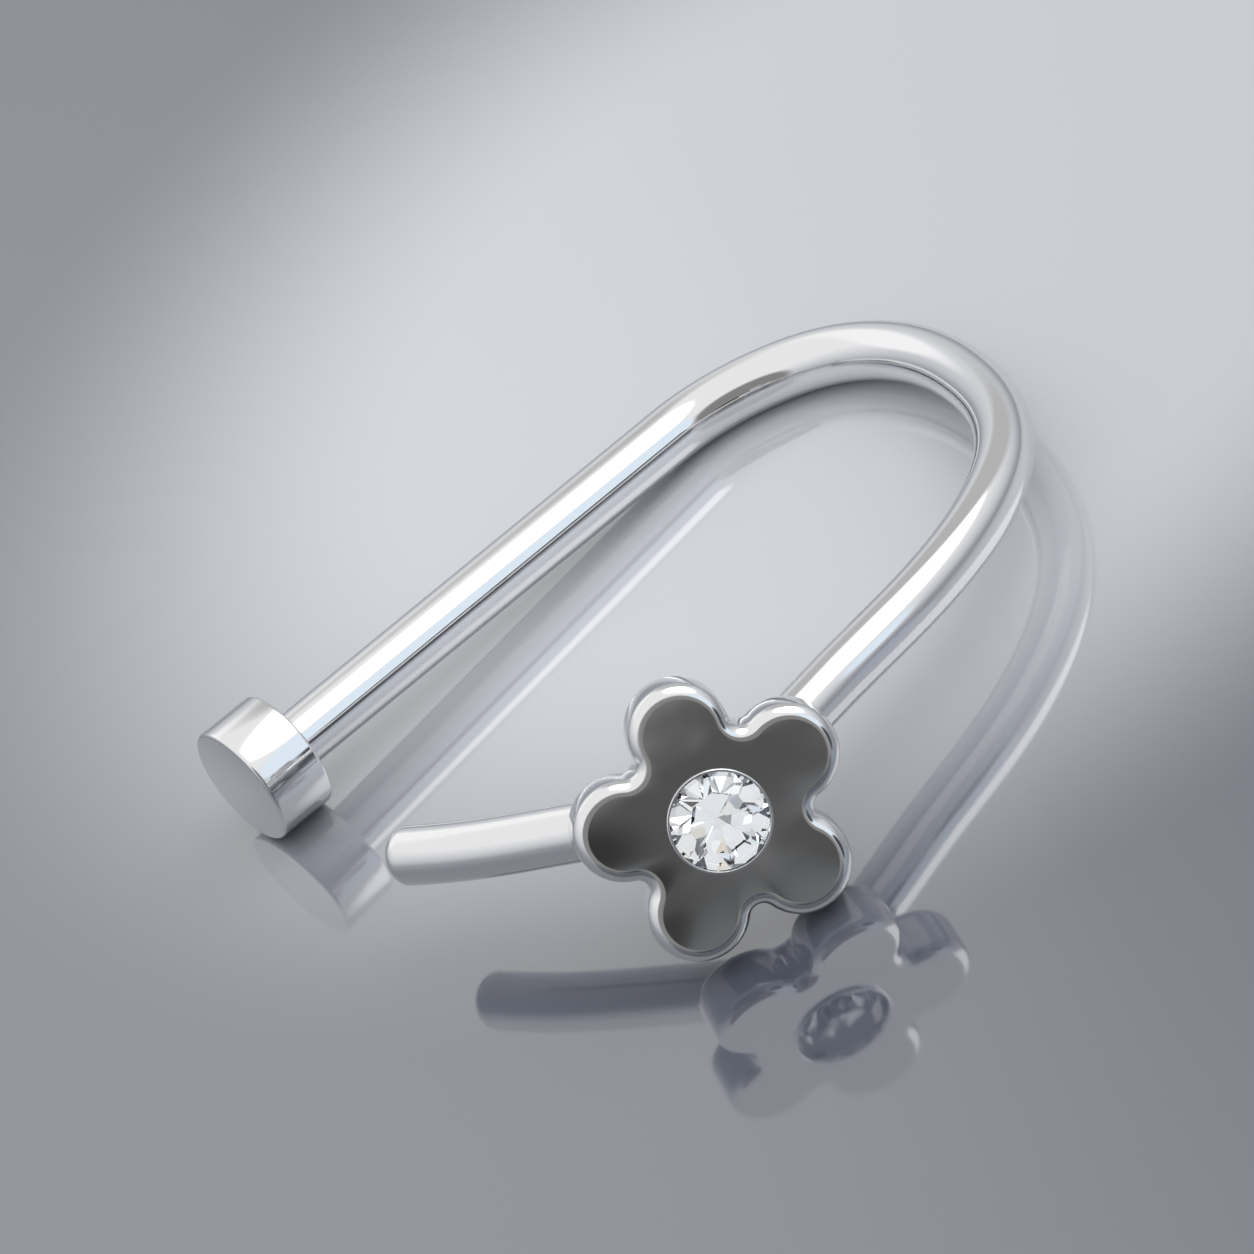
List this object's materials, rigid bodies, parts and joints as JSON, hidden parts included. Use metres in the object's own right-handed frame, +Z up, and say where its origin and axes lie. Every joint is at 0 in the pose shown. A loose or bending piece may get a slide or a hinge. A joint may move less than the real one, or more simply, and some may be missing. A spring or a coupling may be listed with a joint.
{
  "type": "lip cuff with nail head and gem flower",
  "caption": "Small hoop bent to a D from round steel wire, with a thick flat nail head on its straight end and a polished flower plate holding a round cut stone.",
  "frame": {"origin": "middle of the bounding box, on the surface that the cuff rests on", "axes": "+X along the straight leg, away from the nail head, +Y from the flower towards the straight leg, +Z up as the cuff lies at rest"},
  "size_m": [0.0112, 0.0108, 0.0036],
  "materials": {
    "steel": "mirror-polished stainless steel with faint hairline wear",
    "stone": "clear, faceted and polished"
  },
  "bodies": {
    "root": {"hoop_with_flower": "steel", "stone": "stone"}
  },
  "joints": []
}
